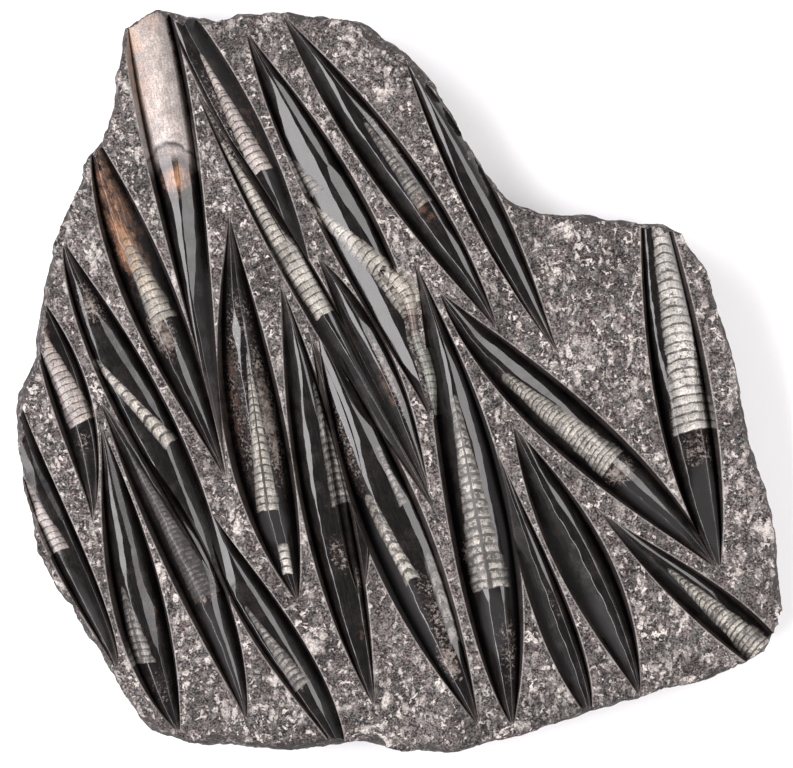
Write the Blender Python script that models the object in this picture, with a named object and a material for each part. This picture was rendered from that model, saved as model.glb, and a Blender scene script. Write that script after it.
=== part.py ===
"""Orthoceras fossil plate: a flat-backed slab of dark limestone carved so that polished
orthoceras fossils stand as long ridges in pointed trenches. It formed as one stone and is
one solid. Metres, +Z up; the slab lies on its flat back with the carved face up."""

import math
import random
from collections import namedtuple

import bmesh
import bpy
from mathutils import Vector

MM = 0.001

# Driving dimensions
THICKNESS = 32 * MM
TRENCH_DEPTH_SHARE = 0.34  # deepest groove over the trench's widest width
TRENCH_TAPER = 0.75  # how the depth follows the width towards the tips
SIDE_STEP = 9 * MM  # longest straight run along the chipped edge
CLEARANCE_ABOVE = 3 * MM  # how far a cutter stands above the face
STATIONS = 14  # sections along one trench

# Across a trench from its left rim (-1) to its right rim (1): the steep wall, the groove,
# and the polished body between the grooves, with the depth as a share of the groove's.
SECTION = (
    (-1.0, 0.0),
    (-0.80, 1.0),
    (-0.62, 0.58),
    (-0.34, 0.22),
    (0.0, 0.10),
    (0.34, 0.22),
    (0.62, 0.58),
    (0.80, 1.0),
    (1.0, 0.0),
)

# Levels of the chipped edge: height share, mean inset and roughness in mm
EDGE_LEVELS = (
    (0.0, 3.2, 1.2),
    (0.30, -0.4, 1.3),
    (0.68, -1.3, 0.6),
    (1.0, 0.0, 0.5),
)

# The slab's outline in mm, clockwise from the top left corner, in the slab's own plan
OUTLINE = (
    (-124, 160), (-117, 165), (-109, 168), (-95, 165), (-83, 163), (-74, 166),
    (-54, 167), (-36, 166), (-18, 162), (-5, 154), (3, 147), (15, 135), (20, 125),
    (28, 111), (36, 99), (43, 87), (52, 80), (63, 76), (77, 76), (94, 73), (108, 72),
    (120, 71), (127, 67), (137, 53), (142, 39), (148, 18), (154, -8), (160, -33),
    (166, -50), (170, -74), (173, -104), (169, -112), (165, -122), (154, -128),
    (139, -134), (110, -142), (87, -149), (58, -158), (41, -163), (24, -167),
    (0, -167), (-16, -162), (-26, -163), (-42, -166), (-72, -165), (-98, -163),
    (-112, -157), (-121, -146), (-130, -132), (-137, -119), (-143, -111),
    (-148, -101), (-154, -94), (-164, -77), (-167, -60), (-171, -44), (-173, -26),
    (-173, -5), (-168, 3), (-165, 15), (-162, 40), (-157, 59), (-152, 74),
    (-146, 87), (-143, 98), (-135, 109), (-129, 123), (-128, 137),
)

# One trench with its fossil: the two tips, then for each rim how far it bulges from the
# straight line between the tips and where along that line the bulge is greatest.
Trench = namedtuple("Trench", "name head tail left left_at right right_at")
TRENCHES = (
    Trench("white_cone", (-118, 199), (-77, -48), 14.4, 0.25, 12.2, 0.30),
    Trench("rust_cone", (-138, 113), (-78, -45), 14.9, 0.40, 9.4, 0.50),
    Trench("top_ringed", (-108, 185), (-37, 37), 7.5, 0.30, 11.8, 0.50),
    Trench("long_ringed", (-92, 132), (18, -62), 7.8, 0.45, 7.2, 0.50),
    Trench("grey_faceted", (-69, 158), (14, -17), 8.9, 0.40, 16.8, 0.55),
    Trench("brown_spindle", (-77, 76), (-46, -99), 20.0, 0.55, 9.1, 0.60),
    Trench("lower_black", (-54, 45), (-11, -147), 13.7, 0.55, 10.3, 0.50),
    Trench("middle_left", (-41, 23), (-17, -98), 4.4, 0.70, 12.6, 0.55),
    Trench("lower_wide", (-37, 23), (36, -156), 16.8, 0.50, 13.5, 0.50),
    Trench("middle_right", (-37, 56), (14, -53), 4.0, 0.45, 12.0, 0.45),
    Trench("split_ringed", (6, 56), (51, -155), 10.5, 0.65, 19.9, 0.55),
    Trench("black_left", (42, -26), (85, -151), 8.8, 0.60, 8.5, 0.70),
    Trench("black_right", (51, -19), (108, -142), 10.0, 0.45, 15.0, 0.55),
    Trench("diagonal_ringed", (18, 41), (143, -85), 14.6, 0.40, 12.3, 0.60),
    Trench("corner_ringed", (88, -56), (180, -143), 7.0, 0.50, 14.7, 0.70),
    Trench("right_ringed", (108, 118), (144, -84), 16.0, 0.60, 10.8, 0.60),
    Trench("upper_black", (2, 146), (72, 11), 7.5, 0.50, 9.6, 0.45),
    Trench("upper_ringed", (-53, 166), (44, 23), 9.1, 0.45, 12.6, 0.55),
    Trench("lower_ringed", (-85, -58), (-25, -172), 11.8, 0.35, 10.4, 0.65),
    Trench("bent_ringed", (-151, 63), (-76, -103), 12.0, 0.35, 12.7, 0.55),
    Trench("lower_grey", (-135, -8), (-69, -153), 5.2, 0.45, 16.9, 0.55),
    Trench("left_streaked", (-135, -18), (-99, -158), 16.0, 0.60, 8.5, 0.55),
    Trench("left_stub", (-162, 39), (-138, -64), 7.6, 0.30, 12.4, 0.50),
    Trench("edge_ringed", (-172, -6), (-128, -130), 12.6, 0.40, 6.0, 0.75),
)

# The fossil that lies across its neighbours: centre line and half width, in mm
CROSSING = (
    ((-9, 50.5), 2.2),
    ((-3, 47), 4.6),
    ((2, 41.5), 5.4),
    ((5, 34), 4.4),
    ((6, 27), 3.6),
    ((7.5, 19), 3.9),
    ((10.5, 11), 4.0),
    ((13, 2.5), 3.9),
    ((14.5, -8), 2.8),
    ((16, -17), 0.8),
)
CROSSING_ARCH = (
    (-1.0, 0.0), (-0.86, 0.45), (-0.5, 0.84), (0.0, 1.0), (0.5, 0.84), (0.86, 0.45), (1.0, 0.0),
)
CROSSING_FOOT = 15 * MM  # its base under the face, in solid stone
CROSSING_CREST = 0.8 * MM  # its crest under the face
SEAT_DEPTH = 2.6 * MM  # how far the stone is cut down beside it
SEAT_MARGIN = 0.3 * MM


def clear_scene():
    for old in list(bpy.data.objects):
        bpy.data.objects.remove(old, do_unlink=True)


def stone_material(name, colour, roughness):
    material = bpy.data.materials.new(name)
    material.use_nodes = True
    shader = material.node_tree.nodes["Principled BSDF"]
    shader.inputs["Base Color"].default_value = (*colour, 1.0)
    shader.inputs["Roughness"].default_value = roughness
    return material


def mesh_object(name, points, faces, material=None):
    mesh = bpy.data.meshes.new(name)
    mesh.from_pydata(points, [], faces)
    if material:
        mesh.materials.append(material)
    shape = bmesh.new()
    shape.from_mesh(mesh)
    bmesh.ops.recalc_face_normals(shape, faces=shape.faces)
    shape.to_mesh(mesh)
    shape.free()
    made = bpy.data.objects.new(name, mesh)
    bpy.context.scene.collection.objects.link(made)
    return made


def chipped_outline():
    """The outline with its long runs divided, in order."""
    corners = [Vector(corner) * MM for corner in OUTLINE]
    points = []
    for start, end in zip(corners, corners[1:] + corners[:1]):
        parts = math.ceil((end - start).length / SIDE_STEP)
        points += [start.lerp(end, step / parts) for step in range(parts)]
    return points


def outward(points, index):
    """The unit normal of the outline at a point, away from the slab."""
    along = points[(index + 1) % len(points)] - points[index - 1]
    return Vector((-along.y, along.x)).normalized()


def slab(material):
    """The uncut slab: flat back, flat face and a chipped edge between them."""
    rough = random.Random(7)
    outline = chipped_outline()
    count = len(outline)
    points = []
    for share, inset, roughness in EDGE_LEVELS:
        for index, point in enumerate(outline):
            back = (inset + rough.uniform(-roughness, roughness)) * MM
            place = point - outward(outline, index) * back
            points.append((place.x, place.y, share * THICKNESS))
    faces = [tuple(range(count)), tuple(range(len(points) - count, len(points)))]
    for level in range(len(EDGE_LEVELS) - 1):
        for index in range(count):
            after = (index + 1) % count
            low, high = level * count, (level + 1) * count
            faces.append((low + index, low + after, high + after, high + index))
    return mesh_object("fossil_slab", points, faces, material)


def lens(along, widest):
    """0 at both tips of a trench and 1 where its rim bulges most."""
    rise = (along / widest) ** (2 * widest)
    return rise * ((1 - along) / (1 - widest)) ** (2 * (1 - widest))


def trench_cutter(trench):
    """A closed solid of all that is cut away for one fossil, down to its own polished back."""
    head, tail = Vector(trench.head) * MM, Vector(trench.tail) * MM
    axis = tail - head
    across = Vector((-axis.y, axis.x)).normalized()
    widest = (trench.left + trench.right) * MM
    top = THICKNESS + CLEARANCE_ABOVE
    points = [(*head, THICKNESS), (*head, top)]
    for station in range(1, STATIONS):
        along = station / STATIONS
        left = -trench.left * MM * lens(along, trench.left_at)
        right = trench.right * MM * lens(along, trench.right_at)
        depth = TRENCH_DEPTH_SHARE * widest * ((right - left) / widest) ** TRENCH_TAPER
        for share, sunk in SECTION:
            place = head + axis * along + across * (left + (right - left) * (share + 1) / 2)
            points.append((place.x, place.y, THICKNESS - depth * sunk))
        for side in (right, left):
            place = head + axis * along + across * side
            points.append((place.x, place.y, top))
    points += [(*tail, THICKNESS), (*tail, top)]
    return mesh_object("cutter_" + trench.name, points, loft(len(SECTION) + 2, STATIONS - 1))


def loft(ring, rings):
    """Faces round and along equal rings, closed at either end on a low and a high tip point.

    The last two corners of a ring are its upper ones, on the right and on the left.
    """
    def at(station, corner):
        return 2 + station * ring + corner % ring

    faces = []
    for station in range(rings - 1):
        for corner in range(ring):
            faces.append((
                at(station, corner), at(station, corner + 1),
                at(station + 1, corner + 1), at(station + 1, corner),
            ))
    right, left = ring - 2, ring - 1
    for station, low_tip in ((0, 0), (rings - 1, 2 + rings * ring)):
        high_tip = low_tip + 1
        for corner in range(right - 1):
            faces.append((at(station, corner), at(station, corner + 1), low_tip))
        faces.append((at(station, right - 1), at(station, right), high_tip, low_tip))
        faces.append((at(station, right), at(station, left), high_tip))
        faces.append((at(station, left), at(station, 0), low_tip, high_tip))
    return faces


def crossing_line():
    """The crossing fossil's centres, the directions across it and its half widths."""
    centres = [Vector(point) * MM for point, _ in CROSSING]
    line = []
    for index, (centre, (_, half)) in enumerate(zip(centres, CROSSING)):
        along = centres[min(index + 1, len(centres) - 1)] - centres[max(index - 1, 0)]
        across = Vector((-along.y, along.x)).normalized()
        line.append((centre, across, half * MM))
    return line


def swept(name, points, ring):
    """A closed solid from equal rings of points, one after another."""
    faces = [tuple(range(ring)), tuple(range(len(points) - ring, len(points)))]
    for station in range(len(points) // ring - 1):
        for corner in range(ring):
            after = (corner + 1) % ring
            low, high = station * ring, (station + 1) * ring
            faces.append((low + corner, low + after, high + after, high + corner))
    return mesh_object(name, points, faces)


def crossing_body():
    """The fossil that lies over its neighbours, with its base sunk in the stone."""
    base, crest = THICKNESS - CROSSING_FOOT, THICKNESS - CROSSING_CREST
    points = []
    for centre, across, half in crossing_line():
        lift = (crest - base) * (0.72 + 0.28 * min(1, half / (4 * MM)))
        for share, rise in CROSSING_ARCH:
            place = centre + across * half * share
            foot = 0.0 if share in (-1.0, 1.0) else 0.45
            points.append((place.x, place.y, base + lift * (foot + rise * (1 - foot))))
    return swept("crossing_body", points, len(CROSSING_ARCH))


def crossing_seat():
    """The shallow bed along the crossing fossil, so that no stone covers it."""
    low, high = THICKNESS - SEAT_DEPTH, THICKNESS + CLEARANCE_ABOVE
    points = []
    for centre, across, half in crossing_line():
        for side, height in ((-1, low), (1, low), (1, high), (-1, high)):
            place = centre + across * side * (half + SEAT_MARGIN)
            points.append((place.x, place.y, height))
    return swept("cutter_seat", points, 4)


def hide(helper):
    helper.hide_render = True
    helper.display_type = "WIRE"


def carve(stone, cutters):
    """Cuts every trench at once: what stays between two of them is a sharp ridge."""
    group = bpy.data.collections.new("trench_cutters")
    bpy.context.scene.collection.children.link(group)
    for cutter in cutters:
        bpy.context.scene.collection.objects.unlink(cutter)
        group.objects.link(cutter)
        hide(cutter)
    cut = stone.modifiers.new("trenches", "BOOLEAN")
    cut.operation = "DIFFERENCE"
    cut.operand_type = "COLLECTION"
    cut.collection = group


def fuse(stone, body):
    hide(body)
    joined = stone.modifiers.new("crossing", "BOOLEAN")
    joined.operation = "UNION"
    joined.object = body


def middle(shape):
    """The middle of a mesh object's bounding box in plan."""
    xs = [vertex.co.x for vertex in shape.data.vertices]
    ys = [vertex.co.y for vertex in shape.data.vertices]
    return Vector(((min(xs) + max(xs)) / 2, (min(ys) + max(ys)) / 2))


def main():
    clear_scene()
    stone = slab(stone_material("limestone", (0.085, 0.08, 0.078), 0.55))
    cutters = [trench_cutter(trench) for trench in TRENCHES] + [crossing_seat()]
    body = crossing_body()
    centre = middle(stone)
    for shape in (stone, body, *cutters):
        shape.location.xy = -centre
    carve(stone, cutters)
    fuse(stone, body)


main()
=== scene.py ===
"""Looks of the orthoceras fossil plate: the carved slab with its polished fossils, the ringed
shells in them, and the studio. Metres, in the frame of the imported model, carved face up."""

import math
import random
from collections import namedtuple

import bmesh
import bpy
import numpy as np
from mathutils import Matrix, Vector, noise


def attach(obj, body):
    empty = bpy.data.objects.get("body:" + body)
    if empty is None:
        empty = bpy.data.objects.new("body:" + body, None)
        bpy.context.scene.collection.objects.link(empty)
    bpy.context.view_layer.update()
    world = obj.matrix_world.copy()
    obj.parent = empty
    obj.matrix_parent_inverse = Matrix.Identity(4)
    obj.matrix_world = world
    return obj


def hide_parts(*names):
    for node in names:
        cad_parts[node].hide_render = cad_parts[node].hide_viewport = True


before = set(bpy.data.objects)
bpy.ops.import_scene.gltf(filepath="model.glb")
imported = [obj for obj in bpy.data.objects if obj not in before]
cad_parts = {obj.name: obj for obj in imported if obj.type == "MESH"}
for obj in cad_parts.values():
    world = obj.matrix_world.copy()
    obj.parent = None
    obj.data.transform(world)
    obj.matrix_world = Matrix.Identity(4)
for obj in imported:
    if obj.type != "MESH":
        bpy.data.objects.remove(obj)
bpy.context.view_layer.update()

MM = 0.001
PERCENT = 100

# ---- Sizes of the slab, as in the part's own source ----

THICKNESS = 32 * MM
TRENCH_DEPTH_SHARE = 0.34
TRENCH_TAPER = 0.75
SIDE_STEP = 9 * MM
CLEARANCE_ABOVE = 3 * MM
EDGE_LEVELS = (
    (0.0, 3.2, 1.2),
    (0.30, -0.4, 1.3),
    (0.68, -1.3, 0.6),
    (1.0, 0.0, 0.5),
)
OUTLINE = (
    (-124, 160), (-117, 165), (-109, 168), (-95, 165), (-83, 163), (-74, 166),
    (-54, 167), (-36, 166), (-18, 162), (-5, 154), (3, 147), (15, 135), (20, 125),
    (28, 111), (36, 99), (43, 87), (52, 80), (63, 76), (77, 76), (94, 73), (108, 72),
    (120, 71), (127, 67), (137, 53), (142, 39), (148, 18), (154, -8), (160, -33),
    (166, -50), (170, -74), (173, -104), (169, -112), (165, -122), (154, -128),
    (139, -134), (110, -142), (87, -149), (58, -158), (41, -163), (24, -167),
    (0, -167), (-16, -162), (-26, -163), (-42, -166), (-72, -165), (-98, -163),
    (-112, -157), (-121, -146), (-130, -132), (-137, -119), (-143, -111),
    (-148, -101), (-154, -94), (-164, -77), (-167, -60), (-171, -44), (-173, -26),
    (-173, -5), (-168, 3), (-165, 15), (-162, 40), (-157, 59), (-152, 74),
    (-146, 87), (-143, 98), (-135, 109), (-129, 123), (-128, 137),
)

# One trench with its fossil: the two tips, then for each rim how far it bulges from the
# straight line between the tips and where along that line the bulge is greatest.
Trench = namedtuple("Trench", "name head tail left left_at right right_at")
TRENCHES = (
    Trench("white_cone", (-118, 199), (-77, -48), 14.4, 0.25, 12.2, 0.30),
    Trench("rust_cone", (-138, 113), (-78, -45), 14.9, 0.40, 9.4, 0.50),
    Trench("top_ringed", (-108, 185), (-37, 37), 7.5, 0.30, 11.8, 0.50),
    Trench("long_ringed", (-92, 132), (18, -62), 7.8, 0.45, 7.2, 0.50),
    Trench("grey_faceted", (-69, 158), (14, -17), 8.9, 0.40, 16.8, 0.55),
    Trench("brown_spindle", (-77, 76), (-46, -99), 20.0, 0.55, 9.1, 0.60),
    Trench("lower_black", (-54, 45), (-11, -147), 13.7, 0.55, 10.3, 0.50),
    Trench("middle_left", (-41, 23), (-17, -98), 4.4, 0.70, 12.6, 0.55),
    Trench("lower_wide", (-37, 23), (36, -156), 16.8, 0.50, 13.5, 0.50),
    Trench("middle_right", (-37, 56), (14, -53), 4.0, 0.45, 12.0, 0.45),
    Trench("split_ringed", (6, 56), (51, -155), 10.5, 0.65, 19.9, 0.55),
    Trench("black_left", (42, -26), (85, -151), 8.8, 0.60, 8.5, 0.70),
    Trench("black_right", (51, -19), (108, -142), 10.0, 0.45, 15.0, 0.55),
    Trench("diagonal_ringed", (18, 41), (143, -85), 14.6, 0.40, 12.3, 0.60),
    Trench("corner_ringed", (88, -56), (180, -143), 7.0, 0.50, 14.7, 0.70),
    Trench("right_ringed", (108, 118), (144, -84), 16.0, 0.60, 10.8, 0.60),
    Trench("upper_black", (2, 146), (72, 11), 7.5, 0.50, 9.6, 0.45),
    Trench("upper_ringed", (-53, 166), (44, 23), 9.1, 0.45, 12.6, 0.55),
    Trench("lower_ringed", (-85, -58), (-25, -172), 11.8, 0.35, 10.4, 0.65),
    Trench("bent_ringed", (-151, 63), (-76, -103), 12.0, 0.35, 12.7, 0.55),
    Trench("lower_grey", (-135, -8), (-69, -153), 5.2, 0.45, 16.9, 0.55),
    Trench("left_streaked", (-135, -18), (-99, -158), 16.0, 0.60, 8.5, 0.55),
    Trench("left_stub", (-162, 39), (-138, -64), 7.6, 0.30, 12.4, 0.50),
    Trench("edge_ringed", (-172, -6), (-128, -130), 12.6, 0.40, 6.0, 0.75),
)

# How each body was ground. Its crest wanders, and on either flank one flat facet lies between
# two edges. All are knots in percent: how far along the trench, and then how much of the way
# from the middle to a rim, -100 on the left and 100 on the right.
Ground = namedtuple("Ground", "crest left right", defaults=(((0, 0),), (), ()))
GROUND = {
    "white_cone": Ground(
        ((38, 8), (50, -5), (58, -20), (64, -32), (80, -60)),
        ((10, -80, -30), (40, -50, -5), (50, -36, -8), (56, -42, -22), (62, -46, -34),
         (76, -76, -70), (80, -78, -78)),
        ((10, 20, 62), (40, 20, 56), (50, 0, 46), (56, -15, 36), (62, -30, 2), (66, -33, -28),
         (70, -35, -35)),
    ),
    "rust_cone": Ground(
        ((0, -5),),
        (),
        ((28, 2, 2), (33, 0, 12), (50, 12, 20), (60, 17, 24), (65, 5, 27), (72, 0, 29),
         (80, 5, 25), (86, 16, 18)),
    ),
    "top_ringed": Ground(
        ((0, -12), (60, -12), (80, -30)),
        ((12, -60, -60), (18, -76, -56), (25, -80, -74), (30, -80, -80)),
        ((58, -5, -5), (62, -8, 10), (70, -6, 2), (80, -28, -22)),
    ),
    "long_ringed": Ground(
        ((0, 0), (50, 5), (65, 12)),
        ((40, -20, -20), (52, -2, 3), (60, 6, 10), (65, 11, 11)),
        ((33, 30, 30), (38, 20, 60), (50, 30, 52), (60, 22, 28), (65, 15, 16)),
    ),
    "grey_faceted": Ground(
        ((0, 12),),
        ((11.5, 5, 5), (14, -5, 12), (20, -42, 10), (30, -74, 3), (40, -78, 0), (56, -78, -10),
         (62, -78, -12), (75, -78, -6), (82, -78, -2), (88, -45, 4), (91, 5, 5)),
        ((12, 30, 30), (15, 22, 52), (30, 25, 52), (36, 32, 42), (40, 20, 58), (46, 22, 60),
         (52, 36, 60), (62, 52, 55)),
    ),
    "brown_spindle": Ground(
        ((0, 12), (50, 5), (80, -15)),
        ((24, -15, -15), (29, -32, 2), (36, -18, -8), (40, -12, -12)),
        ((22, 20, 20), (28, 18, 26), (42, 20, 24), (46, 22, 22)),
    ),
    "lower_black": Ground(
        ((0, 35), (50, 30), (80, 10)),
        ((9, 34, 34), (14, 10, 26), (20, -2, 18), (30, -22, -14), (38, -38, -14), (46, -40, -26),
         (53, -38, -36)),
        ((14, 40, 44), (17, 36, 50), (26, 36, 46), (32, 40, 40), (38, 48, 70), (50, 46, 76),
         (56, 55, 58)),
    ),
    "middle_left": Ground(
        ((0, -20), (50, 10)),
        (),
        ((15, 50, 50), (20, 42, 78), (32, 30, 80), (42, 50, 80), (50, 70, 80), (55, 80, 80)),
    ),
    "lower_wide": Ground(
        ((0, 22), (35, 0), (60, 30)),
        ((4, -70, -10), (10, -62, 12), (15, -54, 20), (20, -44, 20), (25, -40, 8), (30, -34, -8),
         (36, -30, -18), (40, -25, -24)),
        ((17, 28, 28), (21, 28, 42), (26, 32, 62), (36, 38, 58), (44, 50, 70), (56, 54, 76),
         (66, 45, 75), (78, 35, 70), (84, 50, 50)),
    ),
    "middle_right": Ground(
        ((0, 25), (20, 7), (70, 20)),
        ((6, 20, 24), (12, 2, 16), (20, -15, 4), (27, -25, 3), (35, -13, 3), (45, -2, 6),
         (52, 5, 6)),
        ((26, 24, 24), (32, 12, 52), (45, 16, 56), (60, 25, 62), (68, 28, 60), (76, 30, 50),
         (88, 40, 52), (95, 65, 70)),
    ),
    "split_ringed": Ground(
        ((0, 22), (25, 18), (32, 4), (70, 2)),
        ((13, 18, 20), (16, 8, 18), (22, -2, 16), (30, -16, 0), (50, -30, 0), (70, -34, -12),
         (74, -20, -18)),
        ((18, 30, 30), (23, 26, 48), (30, 20, 52), (40, 26, 48), (55, 28, 42), (70, 25, 38),
         (76, 30, 31)),
    ),
    "black_left": Ground(
        ((0, 30), (50, 28)),
        (),
        ((8, 65, 78), (15, 50, 62), (22, 40, 48), (30, 36, 42), (38, 34, 50), (48, 34, 52),
         (56, 44, 46)),
    ),
    "black_right": Ground(
        ((0, 30), (20, 15), (50, 25)),
        (),
        ((5, 70, 78), (10, 42, 55), (16, 25, 33), (22, 23, 30), (30, 22, 43), (36, 32, 42),
         (44, 34, 38), (66, 34, 36)),
    ),
    "diagonal_ringed": Ground(
        ((0, 10), (15, -8), (40, 10), (60, -2)),
        (),
        ((4, 25, 48), (10, 8, 32), (15, -5, 22), (20, -6, 40), (30, 6, 44), (36, 20, 46),
         (42, 28, 45), (50, 12, 36), (60, 2, 30), (68, 3, 30), (76, 8, 26), (84, 15, 16)),
    ),
    "corner_ringed": Ground(
        ((0, 50), (20, 28), (40, 12), (70, -4)),
        (),
        ((5, 70, 78), (10, 60, 76), (16, 40, 64), (21, 34, 56), (30, 40, 52), (42, 46, 60),
         (52, 46, 56), (58, 20, 22), (66, 2, 16), (80, 0, 20)),
    ),
    "right_ringed": Ground(
        ((0, 15),),
        ((22, -66, -58), (48, -62, -55), (55, -54, -42), (60, -46, -38), (64, -40, -39)),
        ((20, 40, 70), (35, 45, 76), (50, 50, 70), (60, 40, 42)),
    ),
    "upper_black": Ground(
        ((0, 5), (30, -2)),
        ((5, -20, 2), (10, -26, 0), (16, -36, -6), (25, -46, -25), (32, -50, -40), (40, -56, -53),
         (56, -56, -55)),
        ((11, 6, 8), (20, 2, 22), (35, 2, 24), (45, 2, 32), (60, 4, 40), (75, 6, 36), (90, 14, 35),
         (96, 22, 24)),
    ),
    "upper_ringed": Ground(
        ((0, 40), (20, 25), (40, 10), (60, 20)),
        ((13, 30, 32), (16, 16, 36), (20, 0, 24), (25, -14, 8), (30, -24, -10), (36, -26, -20),
         (45, -22, -19), (75, -20, -17), (84, -2, 2)),
        ((26, 40, 42), (35, 36, 60), (50, 42, 60), (60, 50, 54), (70, 42, 50), (76, 32, 60),
         (82, 26, 50), (88, 36, 38)),
    ),
    "lower_ringed": Ground(
        ((0, 60), (15, 25), (60, 5), (80, -12)),
        ((3, 20, 55), (10, -10, 30), (15, -45, 20), (20, -60, 0), (26, -65, -25), (30, -60, -60)),
        ((15, 28, 30), (22, 22, 36), (30, 16, 40), (42, 16, 38), (55, 16, 28), (62, 14, 24),
         (70, 2, 20), (77, -8, 17), (83, -10, -8)),
    ),
    "bent_ringed": Ground(
        ((0, -10), (50, 10), (60, 8), (70, -5), (80, -32), (90, -60)),
        ((10, -20, -10), (14, -35, -12), (20, -50, -38), (26, -57, -48), (30, -58, -57)),
        ((17, 15, 17), (25, 14, 42), (35, 26, 50), (45, 36, 56), (51, 50, 52), (56, 18, 35),
         (60, 13, 25), (68, 4, 15), (75, -10, 15), (80, -30, 8), (85, -45, -5), (92, -60, -40)),
    ),
    "lower_grey": Ground(
        ((0, 20), (50, 5)),
        (),
        ((7, 45, 78), (14, 30, 45), (20, 28, 38), (28, 26, 28), (50, 60, 78), (55, 50, 72),
         (60, 42, 64), (66, 18, 42), (75, 6, 24), (86, 6, 22), (95, 10, 12)),
    ),
    "left_streaked": Ground(
        ((0, -10), (50, 2)),
        ((12, -20, -18), (20, -35, -15), (35, -33, -8), (45, -35, -12), (52, -28, -26)),
        ((3, 5, 40), (12, 4, 44), (22, 8, 44), (32, 14, 40), (40, 20, 38), (52, 12, 35),
         (60, 14, 50), (70, 20, 40), (75, 30, 31)),
    ),
    "left_stub": Ground(
        ((0, -30), (30, -10), (55, 25)),
        ((28, -62, -60), (40, -42, -20), (52, -30, -5), (58, -10, -8)),
        ((50, 50, 52), (60, 55, 62), (80, 62, 64)),
    ),
    "edge_ringed": Ground(
        ((0, -10), (25, 6), (50, 10)),
        ((14, -50, -42), (20, -76, -18), (25, -66, 2), (30, -56, -14), (34, -40, -36),
         (42, -60, -30), (52, -55, -20), (57, -40, -38)),
        ((18, 20, 22), (25, 14, 31), (32, 24, 52), (40, 32, 55), (46, 42, 53), (54, 50, 51)),
    ),
}
PLAIN_EDGE = 0.22  # where a flank with no facet turns steep
THINNEST = 0.025  # share of the flank
FACET_END = 0.9  # no facet reaches further down its flank
WAVES = ((33, 0.016), (12.5, 0.011), (5.3, 0.006))  # the hand's wander: length in mm, swing

# The fossil that lies across its neighbours: centre line and half width, in mm
CROSSING = (
    ((-9, 50.5), 2.2),
    ((-3, 47), 4.6),
    ((2, 41.5), 5.4),
    ((5, 34), 4.4),
    ((6, 27), 3.6),
    ((7.5, 19), 3.9),
    ((10.5, 11), 4.0),
    ((13, 2.5), 3.9),
    ((14.5, -8), 2.8),
    ((16, -17), 0.8),
)
CROSSING_FOOT = 15 * MM
CROSSING_CREST = 0.8 * MM
CROSSING_WIDE = 4 * MM  # half width at which it stands at its full height
CROSSING_LOW = 0.72  # share of its height that its thin ends keep
CROSSING_SIDE = 0.45  # share of its height at which its sides start to arch over
CROSSING_THINNEST = 0.7 * MM
CROSSING_STATIONS = 151
CROSSING_POINTS = 25
CROSSING_ROUND = 2.4
SEAT_DEPTH = 2.6 * MM  # how far the stone is cut down beside it
SEAT_MARGIN = 0.3 * MM
SEAT_EVERY = 3  # stations

# ---- Sizes of the finer surface ----

STATION_LENGTH = 2.5 * MM  # along a trench
EDGE_GRID = 1.5 * MM  # round the chipped edge
EDGE_ROWS = 20
EDGE_REACH = 4  # how many points away the edge's direction is read
BEVEL_SEED = Vector((3.1, 7.7, 1.3))
CHIP = 2.0 * MM  # how deep the edge is chipped
CHIP_SIZE = 5 * MM
LEDGE_SIZE = 16 * MM
TORN_SIZE = 13 * MM
BEVEL = 5.0 * MM  # how far the face's own edge is broken away, at most
LIP_WIDTH = 0.5 * MM  # the worn lip of every rim, painted paler: its stone with a painted highlight along the edge
LIP_DROP = 0.25 * MM
LIP_MOST = 0.4  # of the wall, in width
LIP_DEEPEST = 0.3  # of the trench's depth
GROOVE_AT = 0.80  # share of the half width where the body meets the wall
CREST_SUNK = 0.08  # the crest's depth as a share of the groove's
TOP_SLOPE = 0.10  # of the nearly flat strip beside the crest
STEEP_SLOPE = 0.70  # where the flank starts to round off into the groove
STEEPEST = 1.0
TINY = 1e-9  # a width at the tips
FACET_RUNS = (1 / 3, 2 / 3, 1)
STEEP_RUNS = (0.25, 0.5, 0.75, 1)
NUDGE = 0.04  # how far towards its face's middle a corner's slope is read
SLOPE_STEP = 0.01 * MM
LEVEL = 0.99  # the upward part of a level face's normal

# ---- Ringed shells seen in the polished backs, in mm ----

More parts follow.
